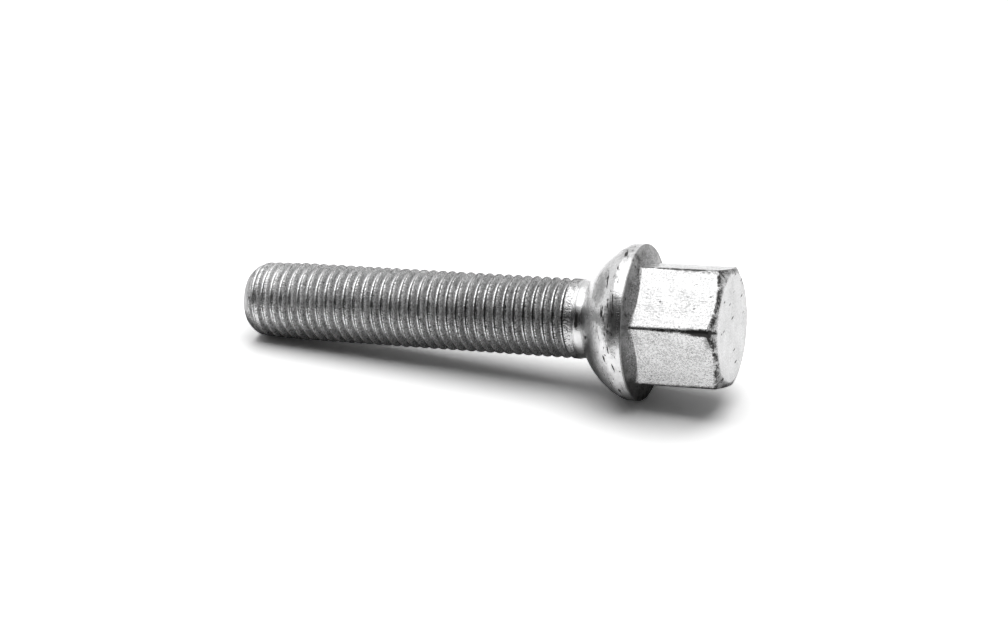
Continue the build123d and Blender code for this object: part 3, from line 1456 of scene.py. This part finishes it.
    def surround(self) -> None:
        """Makes the world: bright overhead, darker before the bolt, and white where it is seen."""
        world = bpy.data.worlds.new("surround")
        bpy.context.scene.world = world
        world.use_nodes = True
        kit = NodeKit(world.node_tree)
        nodes = world.node_tree.nodes
        _, side, rise = kit.apart(kit.add("ShaderNodeTexCoord").outputs["Generated"])
        white = (1.0, 1.0, 1.0, 1.0)
        colour = kit.mix(kit.spread(side, *self.before_edge), kit.ramp(rise, self.before), white)
        path = kit.add("ShaderNodeLightPath").outputs
        strength = kit.plus(self.fill, self.mirrored(kit, path), 1.0 - self.fill)
        kit.feed(nodes["Background"], {"Color": colour, "Strength": strength})
        seen = kit.add("ShaderNodeBackground", {"Color": white}).outputs["Background"]
        lit = nodes["Background"].outputs["Background"]
        blend = kit.mix_shaders(path["Is Camera Ray"], lit, seen)
        kit.join(blend, nodes["World Output"].inputs["Surface"])

    def lamp(self) -> None:
        """Hangs one soft lamp overhead."""
        data = bpy.data.lights.new("soft_lamp", "AREA")
        data.shape, data.size, data.size_y = "RECTANGLE", self.lamp_size, self.lamp_size
        data.energy = self.lamp_power
        lamp = bpy.data.objects.new("soft_lamp", data)
        place = Vector((self.target.x, self.lamp_side, self.lamp_height))
        self.aim(lamp, place, (self.target - place).to_track_quat("-Z", "Y"))

    def build(self) -> None:
        """Makes the whole studio."""
        self.floor()
        self.surround()
        self.lamp()
        self.camera()
        bpy.context.scene.view_settings.view_transform = "Standard"


FINISHES = {
    Zone.THREAD: ZincFinish(
        "thread_zinc", colour=0.86, dark=0.04, roughness=0.08, grain=1.8, mottle=0.55, specks=1.20,
        pits=0.2, scratches=0.2, bump=0.5, edge=0.42, marks=(ThreadMarks(),),
    ),
    Zone.SEAT: ZincFinish(
        "seat_zinc", colour=0.76, dark=0.10, roughness=0.17, grain=0.4, mottle=0.12, specks=0.25,
        pits=0.7, scratches=0.6,
        marks=(
            SeatMarks(),
            # Painted dark reflection in the middle of the ball seat.
            DirtAndShadePatch(-4.8, 22.0, 11.2, 1.3, 4.4, 0.55),
            # A soft dark patch high on the ball seat.
            DirtAndShadePatch(-7.5, 54.0, 9.9, 1.4, 3.4, 0.50),
            # Painted shade where the neck meets the ball seat.
            DirtAndShadePatch(-10.4, 22.0, 6.8, 0.9, 3.2, 0.42),
            # A dark blotch on the neck: a stain and a painted dark reflection.
            DirtAndShadePatch(-11.75, 22.0, 5.7, 0.35, 1.4, 1.0),
            # A small dark spot on the ball seat near the neck.
            DirtAndShadePatch(-9.6, 6.0, 7.6, 0.3, 0.4, 1.0),
            TurningRings(),
            RimKnocks(),
        ),
    ),
    Zone.HEXAGON: ZincFinish(
        "hexagon_zinc", colour=0.71, dark=0.08, roughness=0.22, grain=1.0, mottle=0.32, specks=0.55,
        pits=0.5, scratches=0.5,
        marks=(
            HexagonMarks(),
            # A dark blotch at the end of a hexagon corner: dirt and painted dark reflection.
            DirtAndShadePatch(7.9, 19.5, 9.6, 1.9, 0.6, 0.85),
            # Painted shade where the lower flat rounds into the end cone.
            DirtAndShadePatch(8.9, 12.0, 9.0, 0.6, 1.8, 0.35),
        ),
    ),
    Zone.END_FACE: ZincFinish(
        "end_face_zinc", colour=0.66, dark=0.08, roughness=0.30, grain=0.7, mottle=0.24, specks=0.5,
        pits=0.5, scratches=0.5, marks=(Dashes(),),
    ),
}
VIEWED_STATION = -24.98


def main() -> None:
    """Builds the bolt, its finish and the studio."""
    logging.basicConfig(level=logging.INFO, format="%(name)s: %(message)s")
    for spare in [o for o in bpy.data.objects if o.name in ("Cube", "Light", "Camera")]:
        bpy.data.objects.remove(spare)
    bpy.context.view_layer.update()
    low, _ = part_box("wheel_bolt")
    place = Placement.from_record(frame["record"])
    shank = ThreadedShank()
    head = Head(head_end=place.head_end, crest_end=shank.crest_end, crest_radius=shank.crest_radius)
    piece = Bolt(place, head, shank).build()
    for zone in Zone:
        piece.data.materials.append(FINISHES[zone].material(place))
    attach(piece, "root")
    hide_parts("wheel_bolt")
    LOG.info("piece %s done", piece.name)
    Studio(floor_level=low.z, target=place.axis * VIEWED_STATION * MM).build()


if __name__ == "__main__":
    main()
